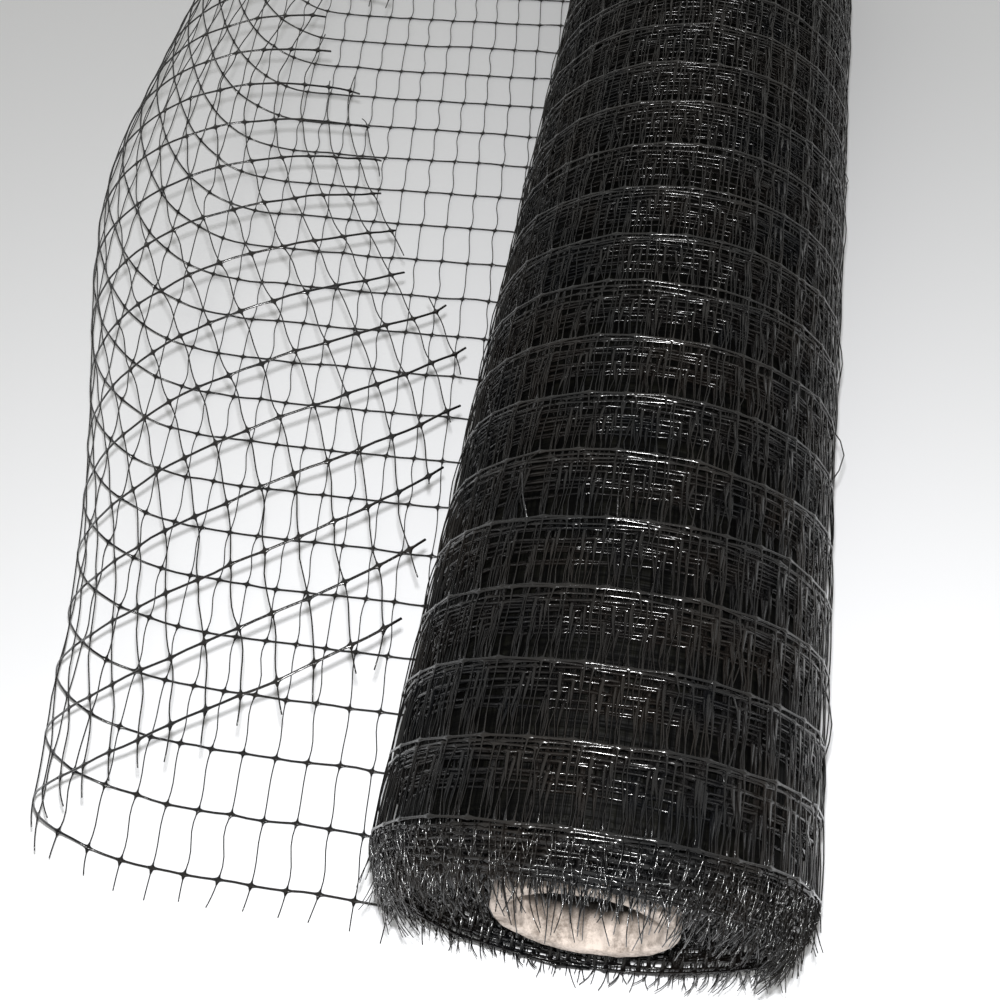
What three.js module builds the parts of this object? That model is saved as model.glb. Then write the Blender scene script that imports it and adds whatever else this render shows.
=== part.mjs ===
// A roll of black plastic netting, wound on a paper tube and lying on its side.
// Its loose end runs out over the floor to the left, and is folded back over itself.
// Millimetres, +Z up. The roll's axis is along Y, with the near end at low Y.
import * as THREE from 'three';

// Netting: thick strands run round the roll, and thin strands run along its axis.
const thickPitch = 40;
const thinPitch = 20.6;
const thickStrands = 25;
const thickWidth = 1.6;
const thinWidth = 0.9;
const strandHeight = 1.4;
// Cut ends of the strands past the outermost crossing.
const sideFray = 20;
const endFray = 9;

// Paper tube.
const tubeBore = 76.2;
const tubeWall = 8.25;
const tubeChamfer = 1;
// The tube stands out this far past the first and the last thick strand.
const tubeOverhang = 30;

// Wound netting.
const rollDiameter = 222;
// Past the first and the last thick strand, the cut ends stand out as a dense brush.
const rollOverhang = 16;
const shoulderRadius = 24;
// Between its outer thick strands the netting is open, and the wound body lies this much lower.
// It slopes down from each strand towards the near end, where the deeper turns' strands follow.
const openDepth = 6;
const strandSlope = 20;
// At the top of the roll, its thick strands and its ends bow this far towards the near end.
const ringBow = 26;
const bowFullAt = 90;
const turnGrooves = 6;
const grooveDepth = 3;
const roundSides = 40;

// The loose end's course is summed up in steps of this length.
const courseStep = 4;

// Clearance between pieces that touch.
const clearance = 0.3;

// Loose end, laid out along the thick strands from the line under the roll's axis.
const firstColumnAt = 14.4;
const columnsToCut = 33;
const cutGap = 3;
// The thin strands lean this much to the left for each millimetre away from the near end.
const skew = 0.102;
// The sheet's course along its thick strands. It lies flat up to where it starts to lift, turns
// over along the fold's length, and then curls gently down again. From sideStart on, the thick
// strands also turn sideways, away from the near end: to foldSideTurn where the sheet lifts, and
// on to endSideTurn over sideLength past the fold.
const nearCourse = { liftAt: 274, foldLength: 139, foldTurn: 138, curlRadius: 237, foldSideTurn: 5.7, endSideTurn: 61 };
const farCourse = { liftAt: 332, foldLength: 150, foldTurn: 92, curlRadius: 102, foldSideTurn: 1.2, endSideTurn: 48 };
const sideStart = 237;
const sideLength = 309;
// Distance from the near end over which the near course passes into the far one.
const courseChange = 480;

const materials = {
  netting: new THREE.MeshStandardMaterial({ color: 0x17161a, roughness: 0.45, metalness: 0 }),
  tube: new THREE.MeshStandardMaterial({ color: 0xc9b8a0, roughness: 0.9, metalness: 0 }),
};

const firstStrandToLast = (thickStrands - 1) * thickPitch;
const rollRadius = rollDiameter / 2;
const tubeInner = tubeBore / 2;
const tubeOuter = tubeInner + tubeWall;
// The round pieces stand on one of their facets.
const axisHeight = rollRadius * Math.cos(Math.PI / roundSides);

const model = new THREE.Group();

function addMesh(name, geometry, material, height = 0) {
  const mesh = new THREE.Mesh(geometry, material);
  mesh.name = name;
  mesh.position.z = height;
  model.add(mesh);
}

// A ring turned about the Y axis from a closed outline of [radius, y] points.
// It is turned half a facet, so that a facet faces down.
function turnedRing(outline) {
  const points = outline.map(([radius, y]) => new THREE.Vector2(radius, y));
  points.push(points[0].clone());
  const ring = new THREE.LatheGeometry(points, roundSides, Math.PI / roundSides);
  return ring;
}

// Paper tube: a plain tube with its four rims broken.
function coreTube() {
  const near = -tubeOverhang;
  const far = firstStrandToLast + tubeOverhang;
  return turnedRing([
    [tubeInner + tubeChamfer, near],
    [tubeOuter - tubeChamfer, near],
    [tubeOuter, near + tubeChamfer],
    [tubeOuter, far - tubeChamfer],
    [tubeOuter - tubeChamfer, far],
    [tubeInner + tubeChamfer, far],
    [tubeInner, far - tubeChamfer],
    [tubeInner, near + tubeChamfer],
  ]);
}

// Moves a ring's points towards the near end, from nothing at the bottom to the full bow at the
// top, and from nothing at the tube to the full bow in the outer turns.
function bowed(ring) {
  const position = ring.getAttribute('position');
  for (let i = 0; i < position.count; i += 1) {
    const radius = Math.hypot(position.getX(i), position.getZ(i));
    const height = (1 + position.getZ(i) / radius) / 2;
    const share = THREE.MathUtils.smoothstep(radius, tubeOuter, bowFullAt);
    position.setY(i, position.getY(i) - ringBow * height * height * share);
  }
  ring.computeVertexNormals();
  return ring;
}

// Wound netting: one turned body round the tube, with its turns as grooves in both ends
// and a rounded shoulder where the outermost turns slope in.
function netRoll() {
  const bore = tubeOuter + clearance;
  const near = -rollOverhang;
  const far = firstStrandToLast + rollOverhang;
  const faceOuter = rollRadius - shoulderRadius;
  const step = (faceOuter - bore) / (2 * turnGrooves + 1);
  const nearEnd = [];
  const farEnd = [];
  for (let i = 0; i <= 2 * turnGrooves + 1; i += 1) {
    const radius = bore + i * step;
    const inGroove = Math.ceil(i / 2) % 2 === 1;
    const depth = inGroove ? grooveDepth : 0;
    nearEnd.push([radius, near + depth]);
    farEnd.push([radius, far - depth]);
  }
  const arcSteps = 4;
  const nearArc = [];
  const farArc = [];
  for (let i = 1; i <= arcSteps; i += 1) {
    const angle = (i / arcSteps) * (Math.PI / 2);
    const radius = faceOuter + shoulderRadius * Math.sin(angle);
    const inset = shoulderRadius * (1 - Math.cos(angle));
    nearArc.push([radius, near + inset]);
    farArc.push([radius, far - inset]);
  }
  const open = rollRadius - openDepth;
  const strands = [];
  for (let row = 0; row < thickStrands; row += 1) {
    const along = row * thickPitch;
    if (row > 0) {
      strands.push([open, along - strandSlope], [rollRadius, along - thickWidth / 2]);
    }
    if (row < thickStrands - 1) {
      strands.push([rollRadius, along + thickWidth / 2], [open, along + 2 * thickWidth]);
    }
  }
  return bowed(turnedRing([
    ...nearEnd, ...nearArc, ...strands, ...farArc.reverse(), ...farEnd.reverse(),
  ]));
}

// The sheet's course at a distance from the near end, with its turns in radians.
function courseAt(along) {
  const change = THREE.MathUtils.smoothstep(along, 0, courseChange);
  const between = (near, far) => THREE.MathUtils.lerp(near, far, change);
  const turnBetween = (near, far) => THREE.MathUtils.degToRad(between(near, far));
  return {
    liftAt: between(nearCourse.liftAt, farCourse.liftAt),
    foldLength: between(nearCourse.foldLength, farCourse.foldLength),
    foldTurn: turnBetween(nearCourse.foldTurn, farCourse.foldTurn),
    curl: between(1 / nearCourse.curlRadius, 1 / farCourse.curlRadius),
    foldSideTurn: turnBetween(nearCourse.foldSideTurn, farCourse.foldSideTurn),
    endSideTurn: turnBetween(nearCourse.endSideTurn, farCourse.endSideTurn),
  };
}

// A point of the loose end's underside. across is the distance along the thick strands from the
// line under the axis, and along is the distance from the near end, where they leave the roll.
function looseEndPoint(across, along) {
  const course = courseAt(along);
  const foldEnd = course.liftAt + course.foldLength;
  const steps = Math.ceil(across / courseStep);
  const step = across / steps;
  const point = new THREE.Vector3(0, along, 0);
  for (let i = 0; i < steps; i += 1) {
    const at = (i + 0.5) * step;
    const turn = course.foldTurn * THREE.MathUtils.smoothstep(at, course.liftAt, foldEnd)
      + course.curl * Math.max(at - foldEnd, 0);
    const sidePastFold = THREE.MathUtils.clamp((at - foldEnd) / sideLength, 0, 1);
    const sideTurn = course.foldSideTurn * THREE.MathUtils.smoothstep(at, sideStart, course.liftAt)
      + (course.endSideTurn - course.foldSideTurn) * sidePastFold;
    point.x -= step * Math.cos(sideTurn) * Math.cos(turn);
    point.y += step * Math.sin(sideTurn);
    point.z += step * Math.cos(sideTurn) * Math.sin(turn);
  }
  return point;
}

// Where a crossing lies on the sheet.
function crossingAt(column, row) {
  const along = row * thickPitch;
  return { across: firstColumnAt + column * thinPitch + skew * along, along };
}

// The sheet's normal, pointing up where it lies flat.
function looseEndNormal(across, along) {
  const step = 0.5;
  const left = looseEndPoint(across + step, along).sub(looseEndPoint(across - step, along));
  const away = looseEndPoint(across, along + step).sub(looseEndPoint(across, along - step));
  return away.cross(left).normalize();
}

// The loose end leaves the roll where the gap under it takes the netting.
const leavesRollAt = Math.sqrt(2 * rollRadius * (strandHeight + clearance)) + clearance;

function firstColumn(row) {
  const { across } = crossingAt(0, row);
  return Math.ceil((leavesRollAt + thickWidth - across) / thinPitch);
}

// The thick strands are cut at one column, or sooner where they would run into the wound netting.
function lastColumn(row) {
  for (let column = columnsToCut; column > 0; column -= 1) {
    const { across, along } = crossingAt(column, row);
    const tip = looseEndPoint(across + endFray, along);
    const gap = Math.hypot(tip.x, tip.z - axisHeight) - rollRadius;
    if (gap > cutGap) {
      return column;
    }
  }
  return 0;
}

const rows = Array.from({ length: thickStrands }, (_, row) => ({
  first: firstColumn(row),
  last: lastColumn(row),
}));

// The loose end's pieces, by where a crossing lies: on the floor, in the fold, or in the layer
// that comes back. They are one web in the real netting.
const pieces = ['loose_end_floor', 'loose_end_fold', 'loose_end_top'];

function pieceOf(column, row) {
  if (row < 0 || row >= thickStrands || column < rows[row].first || column > rows[row].last) {
    return null;
  }
  const { across, along } = crossingAt(column, row);
  const { liftAt, foldLength } = courseAt(along);
  if (across > liftAt + foldLength) {
    return pieces[2];
  }
  return across > liftAt ? pieces[1] : pieces[0];
}

// One piece of netting as a closed body. Each crossing has four points on the underside and one
// on top, and each strand is a three-sided bar between two crossings, fused with them.
function nettingPiece(name) {
  const positions = [];
  const faces = [];
  const corners = new Map();

  function addPoint(across, along, lift) {
    const point = looseEndPoint(across, along);
    point.addScaledVector(looseEndNormal(across, along), lift);
    positions.push(point.x, point.y, point.z);
    return positions.length / 3 - 1;
  }

  // The five points of a cross-section at a crossing: the corners in the order
  // left-away, right-away, right-near, left-near, then the top.
  for (let row = 0; row < thickStrands; row += 1) {
    for (let column = rows[row].first; column <= rows[row].last; column += 1) {
      if (pieceOf(column, row) === name) {
        const { across, along } = crossingAt(column, row);
        const halfThin = thinWidth / 2;
        const halfThick = thickWidth / 2;
        corners.set(`${column},${row}`, {
          leftAway: addPoint(across + halfThin + skew * halfThick, along + halfThick, 0),
          rightAway: addPoint(across - halfThin + skew * halfThick, along + halfThick, 0),
          rightNear: addPoint(across - halfThin - skew * halfThick, along - halfThick, 0),
          leftNear: addPoint(across + halfThin - skew * halfThick, along - halfThick, 0),
          top: addPoint(across, along, strandHeight),
        });
      }
    }
  }

  // A bar from one three-point end to another: each end is [side, side, top], and the first
  // side of both ends lies on the bar's left, seen from above and looking from start to end.
  function addBar(start, end) {
    const [startLeft, startRight, startTop] = start;
    const [endLeft, endRight, endTop] = end;
    faces.push(
      [startLeft, endTop, endLeft], [startLeft, startTop, endTop],
      [startTop, endRight, endTop], [startTop, startRight, endRight],
      [startRight, endLeft, endRight], [startRight, startLeft, endLeft],
    );
  }

  // A cut end: the bar runs on from the crossing and is closed off.
  function addStub(start, dAcross, dAlong, column, row) {
    const { across, along } = crossingAt(column, row);
    const runsAcross = dAlong === 0;
    const half = (runsAcross ? thickWidth : thinWidth) / 2;
    const turn = Math.sign(runsAcross ? dAcross : dAlong);
    const tipAcross = across + dAcross + skew * dAlong;
    const tipAlong = along + dAlong;
    const sideAcross = runsAcross ? 0 : half * turn;
    const sideAlong = runsAcross ? -half * turn : 0;
    const tip = [
      addPoint(tipAcross + sideAcross, tipAlong + sideAlong, 0),
      addPoint(tipAcross - sideAcross, tipAlong - sideAlong, 0),
      addPoint(tipAcross, tipAlong, strandHeight),
    ];
    addBar(start, tip);
    faces.push([tip[0], tip[2], tip[1]]);
  }

  const halfCellAcross = (thinPitch - clearance) / 2;
  const halfCellAlong = (thickPitch - clearance) / 2;
  corners.forEach((corner, key) => {
    const [column, row] = key.split(',').map(Number);
    const { leftAway, rightAway, rightNear, leftNear, top } = corner;
    faces.push([leftAway, rightNear, leftNear], [leftAway, rightAway, rightNear]);
    const ways = [
      { dColumn: 1, dRow: 0, start: [leftNear, leftAway, top], other: (c) => [c.rightNear, c.rightAway, c.top] },
      { dColumn: 0, dRow: 1, start: [leftAway, rightAway, top], other: (c) => [c.leftNear, c.rightNear, c.top] },
      { dColumn: -1, dRow: 0, start: [rightAway, rightNear, top] },
      { dColumn: 0, dRow: -1, start: [rightNear, leftNear, top] },
    ];
    ways.forEach(({ dColumn, dRow, start, other }) => {
      const neighbour = corners.get(`${column + dColumn},${row + dRow}`);
      if (neighbour && other) {
        addBar(start, other(neighbour));
      } else if (!neighbour) {
        const joinsOther = pieceOf(column + dColumn, row + dRow) !== null;
        let reach = dColumn !== 0 ? halfCellAcross : halfCellAlong;
        if (!joinsOther) {
          const { across } = crossingAt(column, row);
          const toRoll = across - leavesRollAt;
          reach = dColumn > 0 ? endFray : sideFray;
          reach = dColumn < 0 ? toRoll : reach;
        }
        addStub(start, dColumn * reach, dRow * reach, column, row);
      }
    });
  });

  const geometry = new THREE.BufferGeometry();
  geometry.setAttribute('position', new THREE.Float32BufferAttribute(positions, 3));
  geometry.setIndex(faces.flat());
  geometry.computeVertexNormals();
  return geometry;
}

addMesh('core_tube', coreTube(), materials.tube, axisHeight);
addMesh('net_roll', netRoll(), materials.netting, axisHeight);
pieces.forEach((name) => addMesh(name, nettingPiece(name), materials.netting));

// The origin is on the floor, at the middle of the whole part's footprint.
const footprint = new THREE.Box3().setFromObject(model);
const middle = footprint.getCenter(new THREE.Vector3());
model.position.set(-middle.x, -middle.y, -footprint.min.z);

export default model;
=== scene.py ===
import math

import bpy
import numpy as np
from mathutils import Matrix, Vector


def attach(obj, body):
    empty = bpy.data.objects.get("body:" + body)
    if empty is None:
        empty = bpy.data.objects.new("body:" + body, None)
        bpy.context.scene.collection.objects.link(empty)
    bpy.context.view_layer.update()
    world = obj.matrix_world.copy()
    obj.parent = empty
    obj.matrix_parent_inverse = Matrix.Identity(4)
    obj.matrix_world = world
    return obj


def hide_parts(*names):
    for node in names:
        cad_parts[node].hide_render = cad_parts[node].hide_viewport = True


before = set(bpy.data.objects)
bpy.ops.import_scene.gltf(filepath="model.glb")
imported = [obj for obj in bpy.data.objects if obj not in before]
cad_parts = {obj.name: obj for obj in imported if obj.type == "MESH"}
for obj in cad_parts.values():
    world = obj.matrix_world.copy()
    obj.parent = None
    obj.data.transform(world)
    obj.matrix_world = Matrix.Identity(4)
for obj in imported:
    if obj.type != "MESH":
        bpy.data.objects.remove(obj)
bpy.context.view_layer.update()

# The netting and the tube are measured in millimetres, and the rest in metres.
MM = 0.001
scene = bpy.context.scene


# Camera. Hand-held about 0.75 m above the floor, looking down over the near end of the roll.
camera_at = Vector((0.1900, -0.7738, 0.7485))
camera_right = Vector((0.98335, 0.17126, -0.06084)).normalized()
camera_up = Vector((-0.10336, 0.80234, 0.58785)).normalized()
camera_back = camera_right.cross(camera_up).normalized()
camera_up = camera_back.cross(camera_right)
lens = bpy.data.cameras.new("camera")
lens.sensor_width = 36
lens.lens = 47.9
lens.clip_start = 0.01
camera = bpy.data.objects.new("camera", lens)
camera.matrix_world = Matrix.Translation(camera_at) @ Matrix(
    (camera_right, camera_up, camera_back)
).transposed().to_4x4()
scene.collection.objects.link(camera)
scene.camera = camera


# Light. A pale room gives the soft part, and a small flash just above the lens gives the glints
# on the plastic and the faint shadows below each strand.
def linear(colour):
    """An sRGB hex colour as linear red, green, blue and alpha."""
    parts = [(colour >> shift & 255) / 255 for shift in (16, 8, 0)]
    return [c / 12.92 if c <= 0.04045 else ((c + 0.055) / 1.055) ** 2.4 for c in parts] + [1]


scene.view_settings.view_transform = "Standard"
ROOM_STRENGTH = 0.42
FLASH_WATTS = 31
FLASH_SIZE = 0.008
FLASH_OVER_LENS = 0.033
room = bpy.data.worlds.new("room")
room.use_nodes = True
room.node_tree.nodes["Background"].inputs["Color"].default_value = linear(0xF8F7F1)
room.node_tree.nodes["Background"].inputs["Strength"].default_value = ROOM_STRENGTH
scene.world = room

flash_data = bpy.data.lights.new("flash", "POINT")
flash_data.energy = FLASH_WATTS
flash_data.shadow_soft_size = FLASH_SIZE
flash = bpy.data.objects.new("flash", flash_data)
flash.location = camera_at + camera_up * FLASH_OVER_LENS
scene.collection.objects.link(flash)


# Floor. A plain white sheet under the roll. It is matt, so it takes soft shadows and no glints.
FLOOR_HALF = 9
FLOOR_BELOW = 0.0005


def add_node(tree, kind, settings=None, **links):
    """A node with its settings, and its inputs set to a value or linked to an output."""
    node = tree.nodes.new(kind)
    for name, value in (settings or {}).items():
        setattr(node, name, value)
    for name, value in links.items():
        socket = node.inputs[int(name[1:]) if name[1:].isdigit() else name.replace("_", " ")]
        if isinstance(value, bpy.types.NodeSocket):
            tree.links.new(value, socket)
        else:
            socket.default_value = value
    return node


def new_material(name):
    """An empty node material, its tree and its shader."""
    material = bpy.data.materials.new(name)
    material.use_nodes = True
    return material, material.node_tree, material.node_tree.nodes["Principled BSDF"]


floor_mesh = bpy.data.meshes.new("floor")
corners = [(x * FLOOR_HALF, y * FLOOR_HALF, 0) for x, y in ((-1, -1), (1, -1), (1, 1), (-1, 1))]
floor_mesh.from_pydata(corners, [], [(0, 1, 2, 3)])
floor = bpy.data.objects.new("floor", floor_mesh)
floor.location.z = -FLOOR_BELOW
scene.collection.objects.link(floor)
white_sheet, tree, shader = new_material("matt white sheet")
shader.inputs["Base Color"].default_value = linear(0xF4F5F8)
shader.inputs["Roughness"].default_value = 0.8
floor_mesh.materials.append(white_sheet)


# Netting. Stretched black polypropylene: the sheet is extruded, punched and drawn, so its strands
# are one piece with its knots, glossy, a little uneven, and flared where they cross. Its thick
# strands run round the roll and its thin ones along it.
THICK_PITCH = 40
THIN_PITCH = 20.6
ROWS = 25
THICK_HALF = 0.78
THICK_HIGH = 0.62
THIN_HALF = 0.42
THIN_HIGH = 0.6
KNOT_HALF = 1.85
KNOT_REACH = 1.7
ROLL_RADIUS = 111
AXIS = (155.07, 110.66)
FIRST_ROW_Y = -535.68
NEAR, FAR = -1, 1

chance = np.random.default_rng(7)

# Drawing leaves a hard glossy skin, which looks black between sharp white glints.
netting_plastic, tree, shader = new_material("drawn black polypropylene")
grain_at = add_node(tree, "ShaderNodeTexCoord").outputs["Object"]
# The tint drifts from a blue black to a brown black every 40 mm or so.
drift = add_node(tree, "ShaderNodeTexNoise", Vector=grain_at, Scale=25, Detail=2)
tint = add_node(tree, "ShaderNodeValToRGB", Fac=drift.outputs["Fac"])
tint.color_ramp.elements[0].position = 0.35
tint.color_ramp.elements[0].color = linear(0x0A0B0D)
tint.color_ramp.elements[1].position = 0.65
tint.color_ramp.elements[1].color = linear(0x14110F)
tree.links.new(tint.outputs["Color"], shader.inputs["Base Color"])
# Drawing marks, about 2 mm apart along the strands, break up the gloss.
marks = add_node(tree, "ShaderNodeTexNoise", Vector=grain_at, Scale=500, Detail=3)
gloss = add_node(tree, "ShaderNodeMapRange", Value=marks.outputs["Fac"])
gloss.inputs["To Min"].default_value = 0.10
gloss.inputs["To Max"].default_value = 0.34
tree.links.new(gloss.outputs["Result"], shader.inputs["Roughness"])
bump = add_node(tree, "ShaderNodeBump", Strength=0.7, Distance=0.0005, Height=marks.outputs["Fac"])
tree.links.new(bump.outputs["Normal"], shader.inputs["Normal"])
shader.inputs["IOR"].default_value = 1.49
# The drawn skin is smoother than what is under it, and throws hard white glints.
shader.inputs["Coat Weight"].default_value = 0.4
shader.inputs["Coat Roughness"].default_value = 0.14
shader.inputs["Coat IOR"].default_value = 1.6


class Strands:
    """Gathers strands as closed tubes, and makes them one mesh."""

    def __init__(self):
        self.points, self.loops, self.starts = [], [], []
        self.point_count = self.loop_count = 0

    def add_faces(self, faces):
        """Faces with the same number of sides, one row of point numbers each."""
        sides = faces.shape[1]
        self.loops.append(faces.ravel())
        self.starts.append(self.loop_count + sides * np.arange(len(faces)))
        self.loop_count += faces.size

    def add(self, line, up, half_wide, half_high, sides):
        """Tubes along line, an array of strands x points x 3, with up as their upper side."""
        along = np.gradient(line, axis=1)
        side = np.cross(along, up)
        side /= np.linalg.norm(side, axis=2, keepdims=True) + 1e-12
        top = np.cross(side, along)
        top /= np.linalg.norm(top, axis=2, keepdims=True) + 1e-12
        angle = 2 * math.pi * (np.arange(sides) + 0.5) / sides
        wide = np.broadcast_to(half_wide, line.shape[:2])[:, :, None, None]
        high = np.broadcast_to(half_high, line.shape[:2])[:, :, None, None]
        ring = (line[:, :, None] + side[:, :, None] * wide * np.cos(angle)[:, None]
                + top[:, :, None] * high * np.sin(angle)[:, None])
        strands, length = line.shape[:2]
        self.points.append(ring.reshape(-1, 3))
        first = self.point_count + sides * length * np.arange(strands)[:, None, None]
        at = first + sides * np.arange(length - 1)[None, :, None]
        here = at + np.arange(sides)
        beside = at + (np.arange(sides) + 1) % sides
        self.add_faces(np.stack([here, here + sides, beside + sides, beside], -1).reshape(-1, 4))
        cap = first[:, 0] + np.arange(sides)
        self.add_faces(cap)
        self.add_faces(cap[:, ::-1] + sides * (length - 1))
        self.point_count += sides * strands * length

    def make(self, name, *nodes, ribbons=False):
        """One piece of netting, which stands for the nodes. The edges of ribbons stay sharp."""
        mesh = bpy.data.meshes.new(name)
        mesh.vertices.add(self.point_count)
        mesh.vertices.foreach_set("co", (np.concatenate(self.points) * MM).ravel())
        mesh.loops.add(self.loop_count)
        mesh.loops.foreach_set("vertex_index", np.concatenate(self.loops).astype(np.int32))
        starts = np.concatenate(self.starts).astype(np.int32)
        mesh.polygons.add(len(starts))
        mesh.polygons.foreach_set("loop_start", starts)
        mesh.update(calc_edges=True)
        mesh.validate()
        if not ribbons:
            mesh.shade_smooth()
        mesh.materials.append(netting_plastic)
        piece = bpy.data.objects.new(name, mesh)
        scene.collection.objects.link(piece)
        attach(piece, "root")
        if nodes:
            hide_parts(*nodes)
        return piece


def smooth(value, low, high):
    """0 below low, 1 above high, and an easy rise between."""
    t = np.clip((value - low) / (high - low), 0, 1)
    return t * t * (3 - 2 * t)


def flare(distance, half):
    """A strand's half width at a distance from the nearest knot."""
    return half + (KNOT_HALF - half) * np.exp(-((distance / KNOT_REACH) ** 2))


# Loose end. It runs out over the floor to the left, lifts, folds over and comes back as a second
# layer that drifts away from the near end. Its course is the one that the CAD solids follow.
FIRST_COLUMN_AT = 14.4
SKEW = 0.102
SIDE_START, SIDE_LENGTH, COURSE_CHANGE = 237, 309, 480
END_FRAY, SIDE_FRAY = 9, 20
COURSE_STEP, COURSE_ROW_STEP = 2, 4
COURSE_LENGTH = 760
COURSE_NEAR, COURSE_FAR = -30, 994
CORNER_SOONER, CORNER_WITHIN = 11, 65
HALF_HEIGHT = 0.7
COLUMNS = 36
KNOT_OFF_ALONG, KNOT_OFF_ACROSS = 0.5, 0.35
CLEAR_OF_ROLL = 4
STUB, SHORTEST_TIP = 0.45, 2
FIRST_THICK_AT, FIRST_THIN_AT = 8, 18
# Where the free edge was cut, in columns, from the near end on. It wanders by a cell or two.
CUT_COLUMNS = [31.2, 31.9, 31.7, 32.5, 33.5, 33.7, 32.9, 33.1, 33.3, 34.4, 34.3, 33.8, 31.9, 30.8]
CUT_FURTHER_ON = 33.0

course_across = np.arange(0, COURSE_LENGTH, COURSE_STEP)
course_along = np.arange(COURSE_NEAR, COURSE_FAR, COURSE_ROW_STEP)
change = smooth(course_along, 0, COURSE_CHANGE)[:, None]


def between(near, far):
    """A measure of the fold that changes from the near end to COURSE_CHANGE further in."""
    return near + (far - near) * change


# At the very corner the sheet lifts half a cell sooner.
corner = np.maximum(1 - course_along[:, None] / CORNER_WITHIN, 0)
lift_at = between(274, 332) - CORNER_SOONER * corner
fold_length = between(139, 150)
fold_end = lift_at + fold_length
fold_turn = np.radians(between(138, 92))
curl = between(1 / 237, 1 / 102)
fold_side = np.radians(between(5.7, 1.2))
end_side = np.radians(between(61, 48))
middle = (course_across + COURSE_STEP / 2)[None]
turn = fold_turn * smooth(middle, lift_at, fold_end) + curl * np.maximum(middle - fold_end, 0)
side_turn = (fold_side * smooth(middle, SIDE_START, lift_at)
             + (end_side - fold_side) * np.clip((middle - fold_end) / SIDE_LENGTH, 0, 1))
steps = COURSE_STEP * np.stack([-np.cos(side_turn) * np.cos(turn), np.sin(side_turn),
                                np.cos(side_turn) * np.sin(turn)], -1)
course = np.cumsum(steps, axis=1) - steps
course[..., 0] += AXIS[0]
course[..., 1] += FIRST_ROW_Y + course_along[:, None]
normals = np.cross(np.gradient(course, axis=0), -np.gradient(course, axis=1))
normals *= np.sign(normals[:1, :1, 2:3])
normals /= np.linalg.norm(normals, axis=2, keepdims=True)


def look_up(table, across, along):
    """The table's value at places on the sheet, between its rows and columns."""
    column = np.clip((across - course_across[0]) / COURSE_STEP, 0, len(course_across) - 1.001)
    row = np.clip((along - course_along[0]) / COURSE_ROW_STEP, 0, len(course_along) - 1.001)
    i, j = row.astype(int), column.astype(int)
    u, v = (row - i)[..., None], (column - j)[..., None]
    return ((table[i, j] * (1 - v) + table[i, j + 1] * v) * (1 - u)
            + (table[i + 1, j] * (1 - v) + table[i + 1, j + 1] * v) * u)


def on_sheet(across, along, lift):
    """Places on the sheet and the sheet's normals there. lift is the height over its underside."""
    normal = look_up(normals, across, along)
    normal /= np.linalg.norm(normal, axis=-1, keepdims=True)
    return look_up(course, across, along) + normal * lift[..., None], normal


# Every knot sits a little off its place.
columns = np.arange(COLUMNS)
knot_along = (THICK_PITCH * np.arange(ROWS)[:, None]
              + chance.normal(0, KNOT_OFF_ALONG, (ROWS, COLUMNS)))
knot_across = (FIRST_COLUMN_AT + THIN_PITCH * columns[None] + SKEW * knot_along
               + chance.normal(0, KNOT_OFF_ACROSS, (ROWS, COLUMNS)))


def tip_gap(across, along):
    """How far a place on the sheet is from the wound netting."""
    place, _ = on_sheet(across, along, np.zeros_like(across))
    return np.hypot(place[..., 0] - AXIS[0], place[..., 2] - AXIS[1]) - ROLL_RADIUS


# Where the web would run back into the roll, it is cut off short of it.
cut_column = np.full(ROWS, CUT_FURTHER_ON)
cut_column[:len(CUT_COLUMNS)] = CUT_COLUMNS
gaps = tip_gap(knot_across + END_FRAY, knot_along)
for row in range(ROWS):
    clear = [c for c in columns if gaps[row, c] > CLEAR_OF_ROLL and c <= cut_column[row]]
    cut_column[row] = min(cut_column[row], max(clear) + STUB)

# The points of a strand from one knot to the next lie close together where it flares.
THICK_OFFSETS = np.array([0, 0.9, 1.9, 3.4, 10.3, 17.2, 18.7, 19.7])
THIN_OFFSETS = np.array([0, 0.9, 1.9, 3.6, 8, 14, 20, 26, 32, 36.4, 38.1, 39.1])
floor_part, fold_part, upper_part = Strands(), Strands(), Strands()


def add_on_sheet(across, along, lift, half_wide, half_high, sides):
    """One strand on the sheet, shared out between the floor, the fold and the upper layer."""
    place, normal = on_sheet(across, along, lift)
    lift_here = np.interp(along, course_along, lift_at[:, 0])
    end_here = np.interp(along, course_along, fold_end[:, 0])
    part = (across > lift_here).astype(int) + (across > end_here)
    breaks = [0, *(np.flatnonzero(np.diff(part)) + 1), len(part) - 1]
    for start, stop in zip(breaks[:-1], breaks[1:]):
        if stop > start:
            run = slice(start, stop + 1)
            strands = (floor_part, fold_part, upper_part)[part[start]]
            strands.add(place[None, run], normal[None, run],
                        half_wide[None, run], half_high[None, run], sides)


# Thick strands, from under the roll to the cut edge.
for row in range(ROWS):
    last = int(cut_column[row])
    first = max(0, math.ceil((FIRST_THICK_AT - knot_across[row, 0]) / THIN_PITCH))
    tip = (cut_column[row] - last) * THIN_PITCH + SHORTEST_TIP
    share = THICK_OFFSETS / THIN_PITCH
    across, along, distance = [], [], []
    for c in range(first, last):
        across.append(knot_across[row, c] * (1 - share) + knot_across[row, c + 1] * share)
        along.append(knot_along[row, c] * (1 - share) + knot_along[row, c + 1] * share
                     + chance.normal(0, 0.35) * np.sin(math.pi * share))
        distance.append(np.minimum(THICK_OFFSETS, THIN_PITCH - THICK_OFFSETS))
    end = THICK_OFFSETS[:4]
    end = np.concatenate([end[end < tip - 0.5], [tip]])
    across.append(knot_across[row, last] + end)
    along.append(knot_along[row, last] + chance.normal(0, 0.08) * end)
    distance.append(end)
    across, along, distance = map(np.concatenate, (across, along, distance))
    wide = flare(distance, THICK_HALF)
    add_on_sheet(across, along, np.full_like(across, HALF_HEIGHT), wide,
                 np.full_like(wide, THICK_HIGH), 6)


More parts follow.
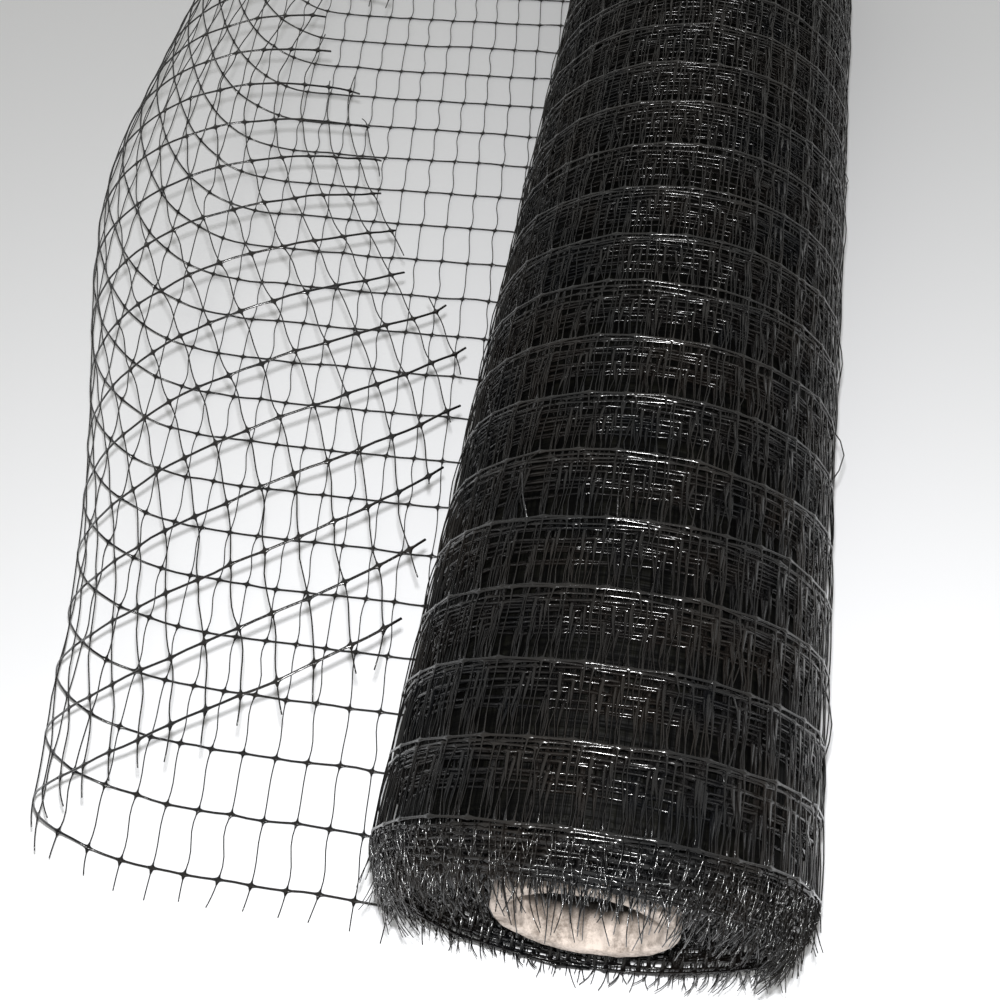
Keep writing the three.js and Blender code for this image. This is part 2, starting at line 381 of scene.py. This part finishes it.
def fray_length(at_side):
    """At the sides the frays are all about as long, and at the cut edge of any length."""
    return SIDE_FRAY * chance.uniform(0.8, 1.1) if at_side else chance.uniform(5, 24)


def fray(row, column, sign, length):
    """The bare end of a thin strand past its last knot: across, along, distance and lift."""
    reach = np.linspace(0, 1, 6)
    lean = chance.normal(0.05, 0.07)
    bend = chance.normal(0, 0.004) * length
    out = reach * length
    return (knot_across[row, column] + (SKEW * sign + lean) * out + bend * out * reach,
            knot_along[row, column] + sign * out, out,
            HALF_HEIGHT + np.abs(chance.normal(0, 0.12)) * out * reach)


# Thin strands, from cut end to cut end, with a lazy wave between the knots.
for c in columns:
    present = [row for row in range(ROWS)
               if cut_column[row] >= c and knot_across[row, c] > FIRST_THIN_AT]
    if not present:
        continue
    groups = np.split(np.array(present), np.flatnonzero(np.diff(present) > 1) + 1)
    for rows in groups:
        across, along, distance, lift = [], [], [], []
        near_end = fray(rows[0], c, NEAR, fray_length(rows[0] == 0))
        for store, part in zip((across, along, distance, lift), near_end):
            store.append(part[:0:-1])
        share = THIN_OFFSETS / THICK_PITCH
        for row in rows[:-1]:
            wave = chance.normal(-0.7, 0.4) * np.sin(2 * math.pi * share)
            sway = chance.normal(0, 0.45) * np.sin(math.pi * share)
            across.append(knot_across[row, c] * (1 - share) + knot_across[row + 1, c] * share
                          + wave + sway)
            along.append(knot_along[row, c] * (1 - share) + knot_along[row + 1, c] * share)
            distance.append(np.minimum(THIN_OFFSETS, THICK_PITCH - THIN_OFFSETS))
            lift.append(HALF_HEIGHT + abs(chance.normal(0, 0.5)) * np.sin(math.pi * share))
        far_end = fray(rows[-1], c, FAR, fray_length(rows[-1] == ROWS - 1))
        for store, part in zip((across, along, distance, lift), far_end):
            store.append(part)
        across, along, distance, lift = map(np.concatenate, (across, along, distance, lift))
        wide = flare(distance, THIN_HALF)
        add_on_sheet(across, along, lift, wide, np.minimum(wide, THIN_HIGH), 5)

floor_part.make("netting_on_floor", "loose_end_floor")
fold_part.make("netting_fold", "loose_end_fold")
upper_part.make("netting_folded_back", "loose_end_top")


# Wound netting. The same web goes on round the roll, one turn on the next. Its outer turns show as
# rings of thick strands with the thin ones across them, over a dark mass of deeper turns. The rings
# bow towards the near end at the top.
TURN_STEP = 0.9
TURN_DRIFT = 1.6
BOW = 26
BOW_FROM, BOW_FULL_AT = 46, 90
FINE_TURNS, PLAIN_TURNS, TURNS_IN_A_PIECE = 3, 10, 5
INNERMOST = 47.5
OUTERMOST = ROLL_RADIUS - TURN_STEP
FIRST_KNOT_AT = 0.05
KNOT_UNEVEN, KNOT_OFF = 0.10, 0.45
WANDER, WANDER_EVERY = 1.3, 6
THIN_WAVE = 0.9
HELD_DOWN, SPRUNG = 0.93, 2.5
PRESSED, LEAST_HIGH, WOUND_THIN_HIGH = 0.35, 0.2, 0.5
FROM_BOTTOM = -math.pi / 2
# Where the roll stands on the floor its strands are pressed flat.
RESTS_AT = 0.6


def on_roll(angle, radius, along):
    """Places round the roll's axis. The angle is 0 at the bottom and grows to the right and up."""
    across = angle + FROM_BOTTOM
    height = AXIS[1] + radius * np.sin(across)
    return np.stack([AXIS[0] + radius * np.cos(across), FIRST_ROW_Y + along,
                     np.maximum(height, RESTS_AT)], -1)


def away_from_axis(place):
    """The directions out of the roll at places on it."""
    out = place - np.array([AXIS[0], 0, AXIS[1]])
    out[..., 1] = 0
    return out / np.linalg.norm(out, axis=-1, keepdims=True)


def bow(angle):
    """How far an outer ring leans towards the near end, most of all at the top."""
    return -BOW * ((1 - np.cos(angle)) / 2) ** 2


def bow_inside(angle, radius):
    """The same below the outer turns, where it fades towards the tube."""
    return bow(angle) * smooth(radius, BOW_FROM, BOW_FULL_AT)


def turn_radius(angle):
    """The web winds in by one step a turn."""
    return OUTERMOST - TURN_STEP * angle / (2 * math.pi)


def row_at(angle):
    """How far a row has moved along the axis, from where its thick strand leaves the roll."""
    return bow(angle) - TURN_DRIFT * angle / (2 * math.pi)


def knot_angles(first_turn, last_turn):
    """The angles of the thin strands, one thin pitch apart round the roll."""
    angles = [2 * math.pi * first_turn + FIRST_KNOT_AT]
    while angles[-1] < 2 * math.pi * last_turn:
        step = chance.normal(1, KNOT_UNEVEN) * THIN_PITCH
        angles.append(angles[-1] + step / turn_radius(angles[-1]))
    return np.array(angles)


def wandering(count, spread, every):
    """A value for each row that wanders from knot to knot, with a new aim every so many knots."""
    aims = chance.normal(0, spread, (ROWS, count // every + 2))
    at = np.arange(count) / every
    return np.array([np.interp(at, np.arange(aims.shape[1]), row) for row in aims])


def wind(strands, first_turn, last_turn, offsets, thick_sides, thin_shares, looseness):
    """Some turns of the wound netting: rings of thick strands and the thin strands across them."""
    angles = knot_angles(first_turn, last_turn)
    rows = np.arange(ROWS)
    off = (chance.normal(0, KNOT_OFF, (ROWS, len(angles)))
           + wandering(len(angles), WANDER, WANDER_EVERY))
    slack = chance.normal(0, KNOT_OFF, (ROWS, len(angles)))
    share = np.asarray(offsets) / THIN_PITCH
    ring = (angles[:-1, None] * (1 - share) + angles[1:, None] * share).ravel()
    distance = np.tile(np.minimum(offsets, THIN_PITCH - np.asarray(offsets)), len(angles) - 1)
    knots = np.arange(len(angles))
    at = (knots[:-1, None] + share).ravel()
    along = THICK_PITCH * rows[:, None] + row_at(ring) + [np.interp(at, knots, row) for row in off]
    radius = turn_radius(ring) + np.array([np.interp(at, knots, row) for row in slack])
    line = on_roll(ring[None], radius, along)
    wide = np.broadcast_to(flare(distance, THICK_HALF), line.shape[:2])
    strands.add(line, away_from_axis(line), wide, PRESSED * wide + LEAST_HIGH, thick_sides)

    share = np.asarray(thin_shares)
    spans = (len(angles), ROWS - 1, 1)
    wave = chance.normal(0, THIN_WAVE, spans) * np.sin(2 * math.pi * share)
    rise = np.abs(chance.normal(0, looseness, spans)) * np.sin(math.pi * share)
    # Most thin strands are held down by the next turn, and a few spring out.
    rise *= 1 + SPRUNG * (chance.random(spans) > HELD_DOWN)
    knot_row = (THICK_PITCH * rows[:, None] + row_at(angles) + off).T
    knot_radius = (turn_radius(angles) + slack).T
    across = (knot_row[:, :-1, None] * (1 - share) + knot_row[:, 1:, None] * share)
    height = knot_radius[:, :-1, None] * (1 - share) + knot_radius[:, 1:, None] * share + rise
    place = on_roll(angles[:, None, None] + wave / height, height, across)
    place = place.reshape(len(angles), -1, 3)
    distance = np.tile(np.minimum(share, 1 - share) * THICK_PITCH, ROWS - 1)
    wide = np.broadcast_to(flare(distance, THIN_HALF), place.shape[:2])
    strands.add(place, away_from_axis(place), wide, np.minimum(wide, WOUND_THIN_HIGH), 3)


# The outermost turns are the loosest. The deeper they lie, the fewer points their strands need.
outer_turns = Strands()
wind(outer_turns, 0, FINE_TURNS, [0, 1.5, 3.6, 17.0, 19.1], 4,
     [0, 0.05, 0.25, 0.5, 0.75, 0.95], 0.95)
outer_turns.make("wound_netting_outer", "net_roll", ribbons=True)
for number, first in enumerate(range(FINE_TURNS, FINE_TURNS + PLAIN_TURNS, TURNS_IN_A_PIECE)):
    deeper_turns = Strands()
    wind(deeper_turns, first, first + TURNS_IN_A_PIECE, [0, 2.2, 18.4], 3, [0, 1 / 3, 2 / 3], 0.5)
    deeper_turns.make(f"wound_netting_deeper_{number + 1}", ribbons=True)


# Deeper turns. The hundreds of strands below the outer turns show only as a dark mass, and as the
# edges of its turns in both end faces. It is turned round the tube.
TUBE_OUTER = 46.35
LAST_ROW = (ROWS - 1) * THICK_PITCH
DEEP_CLEARANCE = 0.6
DEEP_RADIUS = OUTERMOST - TURN_STEP * (FINE_TURNS + PLAIN_TURNS) - DEEP_CLEARANCE
DEEP_ROUND_IN, DEEP_ROUND_ALONG = 3, 10
FACE_IN, FACE_GROOVE = 1.5, 3
AROUND = 120


def turned_mesh(name, outline, bend):
    """A closed ring round the roll's axis. Its outline of radius and distance along is bent."""
    outline = np.asarray(outline, float)
    count = len(outline)
    angle = 2 * math.pi * np.arange(AROUND)[:, None] / AROUND
    radius, along = outline[None, :, 0], outline[None, :, 1] + np.zeros_like(angle)
    radius, along = bend(angle, radius, along)
    points = on_roll(angle, radius, along).reshape(-1, 3) * MM
    faces = [((i * count + j), (i * count + (j + 1) % count),
              ((i + 1) % AROUND * count + (j + 1) % count), ((i + 1) % AROUND * count + j))
             for i in range(AROUND) for j in range(count)]
    mesh = bpy.data.meshes.new(name)
    mesh.from_pydata(points.tolist(), [], faces)
    mesh.validate()
    mesh.shade_smooth()
    piece = bpy.data.objects.new(name, mesh)
    scene.collection.objects.link(piece)
    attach(piece, "root")
    return piece


# Painted shade: the same plastic as the outer turns, painted darker and with almost no specular,
# for the shade of the outer turns over it.
deep_netting_in_painted_shade, tree, shader = new_material("deep turns of black polypropylene in painted shade")
deep_at = add_node(tree, "ShaderNodeTexCoord").outputs["Object"]
# Thin strands lie along the roll about 2 mm apart, and thick ones round it, with painted shade
# darkest in the gaps between them.
along_it = add_node(tree, "ShaderNodeMapping", Vector=deep_at, Scale=(450, 22, 450))
thin_streaks = add_node(tree, "ShaderNodeTexNoise", Vector=along_it.outputs[0], Scale=1, Detail=2)
round_it = add_node(tree, "ShaderNodeMapping", Vector=deep_at, Scale=(14, 330, 14))
thick_streaks = add_node(tree, "ShaderNodeTexNoise", Vector=round_it.outputs[0], Scale=1, Detail=2)
streaks = add_node(tree, "ShaderNodeMath", {"operation": "MULTIPLY"},
                   _0=thin_streaks.outputs["Fac"], _1=thick_streaks.outputs["Fac"])
shade = add_node(tree, "ShaderNodeValToRGB", Fac=streaks.outputs[0])
shade.color_ramp.elements[0].position = 0.22
shade.color_ramp.elements[0].color = linear(0x020202)
shade.color_ramp.elements[1].position = 0.42
shade.color_ramp.elements[1].color = linear(0x0B0B08)
tree.links.new(shade.outputs["Color"], shader.inputs["Base Color"])
shader.inputs["Roughness"].default_value = 0.55
# The painted shade also cuts its reflection to almost nothing.
shader.inputs["Specular IOR Level"].default_value = 0.05
streak_bump = add_node(tree, "ShaderNodeBump", Strength=1.0, Distance=0.002,
                       Height=streaks.outputs[0])
tree.links.new(streak_bump.outputs["Normal"], shader.inputs["Normal"])

# Half of the outline, from the tube outwards over the near face. The far half is its mirror image.
face_radii = np.arange(TUBE_OUTER + 0.5, DEEP_RADIUS - 2 * DEEP_ROUND_IN, 2 * TURN_STEP)
near_half = [(r, FACE_IN + FACE_GROOVE * (i % 2)) for i, r in enumerate(face_radii)]
near_half += [(DEEP_RADIUS - DEEP_ROUND_IN, DEEP_ROUND_IN), (DEEP_RADIUS, DEEP_ROUND_ALONG)]
inner_mass = turned_mesh(
    "wound_netting_inner", near_half + [(r, LAST_ROW - along) for r, along in near_half[::-1]],
    lambda angle, radius, along: (radius, along + bow_inside(angle, radius)))
inner_mass.data.materials.append(deep_netting_in_painted_shade)


# Cut ends. The thin strands stick out some 20 mm past the last thick strand at both ends of the
# roll, in a dense brush that leans in over the tube and sags.
EDGE_STEP, EDGE_HIGH = 0.26, 0.55
FIRST_HAIR_AT, HAIR_PITCH = 0.1, 0.35 * THIN_PITCH
HAIR_SHORTEST, HAIR_LONGEST, BOTTOM_SHARE = 9, 20, 0.55
LEAN_IN, LEAN_IN_MORE = 0.12, 0.33
HAIR_TAPER, HAIR_SAG = 0.35, 0.10
OFF_TUBE = 1.2


def brush(name, row, sign):
    """The cut ends of one end face, with the edge strands of the deeper turns below them."""
    strands = Strands()
    edge = np.arange(0, 2 * math.pi * (OUTERMOST - INNERMOST) / TURN_STEP, EDGE_STEP)
    deep = edge[edge > 2 * math.pi * (FINE_TURNS + PLAIN_TURNS)]
    along = THICK_PITCH * row + bow_inside(deep, turn_radius(deep))
    ring = on_roll(deep, turn_radius(deep), along)[None]
    strands.add(ring, away_from_axis(ring), THICK_HALF, EDGE_HIGH, 3)

    angle = []
    here = FIRST_HAIR_AT
    while turn_radius(here) > INNERMOST:
        angle.append(here)
        here += HAIR_PITCH / turn_radius(here)
    angle = np.array(angle)
    radius = turn_radius(angle)
    count = len(angle)
    # The lowest ones are pressed short by the floor, and the outer ones lean in most.
    share = BOTTOM_SHARE + (1 - BOTTOM_SHARE) * smooth(-np.cos(angle), -1, 0)
    length = (chance.uniform(HAIR_SHORTEST, HAIR_LONGEST, count) * share)[:, None]
    inward = (LEAN_IN + LEAN_IN_MORE * smooth(radius, 60, 108))[:, None]
    reach = np.linspace(0, 1, 5)[None]
    spread = chance.normal(0, 0.16, (count, 1))
    curl = chance.normal(0, 0.30, (count, 1))
    swing = chance.normal(0, 0.11, (count, 1)) + chance.normal(0, 0.22, (count, 1)) * reach
    out = length * reach
    away = out * (spread - inward * reach + curl * reach)
    depth = np.where(radius > DEEP_RADIUS, row_at(angle), bow_inside(angle, radius))[:, None]
    place = on_roll(angle[:, None] + out * swing / radius[:, None],
                    np.maximum(radius[:, None] + away, TUBE_OUTER + OFF_TUBE),
                    THICK_PITCH * row + depth + sign * out)
    place[..., 2] -= HAIR_SAG * out * reach
    place[..., 2] = np.maximum(place[..., 2], RESTS_AT)
    wide = THIN_HALF * (1 - HAIR_TAPER * reach)
    strands.add(place, away_from_axis(place), wide, wide, 3)
    strands.make(name, ribbons=True)


brush("cut_ends_near", 0, NEAR)
brush("cut_ends_far", ROWS - 1, FAR)


# Tube. Grey board, wound and glued, and sawn off roughly at both ends. The netting is wound on it
# and holds by its own tension.
TUBE_INNER = 38.1
TUBE_PAST = 30
WALL_MIDDLE = 42
RIM_IN, RIM_ALONG, RIM_DISH = 0.9, 1.2, 0.3
RAGGED = 0.8
# Depths into the bore, in mm, where the painted shade starts and where it is full.
BORE_SHADE_FROM, BORE_SHADE_ALL = 14, 22
TUBE_MIDDLE = (FIRST_ROW_Y + LAST_ROW / 2) * MM
TUBE_HALF = LAST_ROW / 2 + TUBE_PAST
# Pressed recycled fibres give it a warm, blotchy grey with no shine at all.
cardboard, tree, shader = new_material("wound paper tube")
board_at = add_node(tree, "ShaderNodeTexCoord").outputs["Object"]
fibres = add_node(tree, "ShaderNodeTexNoise", Vector=board_at, Scale=420, Detail=5, Roughness=0.8)
blotches = add_node(tree, "ShaderNodeTexNoise", Vector=board_at, Scale=60, Detail=3)
mixed = add_node(tree, "ShaderNodeMath", {"operation": "ADD"},
                 _0=fibres.outputs["Fac"], _1=blotches.outputs["Fac"])
board_colour = add_node(tree, "ShaderNodeValToRGB", Fac=add_node(
    tree, "ShaderNodeMath", {"operation": "MULTIPLY"}, _0=mixed.outputs[0], _1=0.5).outputs[0])
board_colour.color_ramp.elements[0].position = 0.36
board_colour.color_ramp.elements[0].color = linear(0x74685E)
board_colour.color_ramp.elements[1].position = 0.56
board_colour.color_ramp.elements[1].color = linear(0xD3C6BC)
# Painted shade: inside the bore the board is painted dark from a thumb's breadth in, for the shade
# deep in the tube.
depth_at = add_node(tree, "ShaderNodeSeparateXYZ", Vector=board_at)
along_tube = add_node(tree, "ShaderNodeMath", {"operation": "ADD"},
                      _0=depth_at.outputs["Y"], _1=-TUBE_MIDDLE)
from_middle = add_node(tree, "ShaderNodeMath", {"operation": "ABSOLUTE"}, _0=along_tube.outputs[0])
inside = add_node(tree, "ShaderNodeMapRange", Value=from_middle.outputs[0])
inside.inputs["From Min"].default_value = (TUBE_HALF - BORE_SHADE_FROM) * MM
inside.inputs["From Max"].default_value = (TUBE_HALF - BORE_SHADE_ALL) * MM
# The painted shade is a near-black brown mixed over the board's colour.
painted_bore_shade = add_node(tree, "ShaderNodeMix", {"data_type": "RGBA"}, _0=inside.outputs["Result"],
                _6=board_colour.outputs["Color"], _7=linear(0x1C1916))
tree.links.new(painted_bore_shade.outputs[2], shader.inputs["Base Color"])
shader.inputs["Roughness"].default_value = 0.9
rough_board = add_node(tree, "ShaderNodeBump", Strength=0.8, Distance=0.0008,
                       Height=fibres.outputs["Fac"])
tree.links.new(rough_board.outputs["Normal"], shader.inputs["Normal"])


def sawn(angle, radius, along):
    """The sawn rims are a little uneven, and the bore's edge is bruised."""
    at_rim = (along < -TUBE_PAST + 2) | (along > LAST_ROW + TUBE_PAST - 2)
    ragged = 0.35 * np.sin(7 * angle + 0.6) + 0.3 * np.sin(13 * angle) + 0.25 * np.sin(29 * angle)
    return radius + at_rim * 0.1 * np.sin(17 * angle + radius), along + at_rim * ragged * 0.5


near_rim, far_rim = -TUBE_PAST + RAGGED, LAST_ROW + TUBE_PAST - RAGGED
rim = [(TUBE_INNER, RIM_ALONG), (TUBE_INNER + RIM_IN, 0), (WALL_MIDDLE, RIM_DISH),
       (TUBE_OUTER - RIM_IN, 0), (TUBE_OUTER, RIM_ALONG), (TUBE_OUTER, 20)]
tube = turned_mesh("paper_tube", [(r, near_rim + along) for r, along in rim]
                   + [(r, far_rim - along) for r, along in rim[::-1]]
                   + [(TUBE_INNER, far_rim - 60), (TUBE_INNER, near_rim + 60)], sawn)
tube.data.materials.append(cardboard)
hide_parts("core_tube")
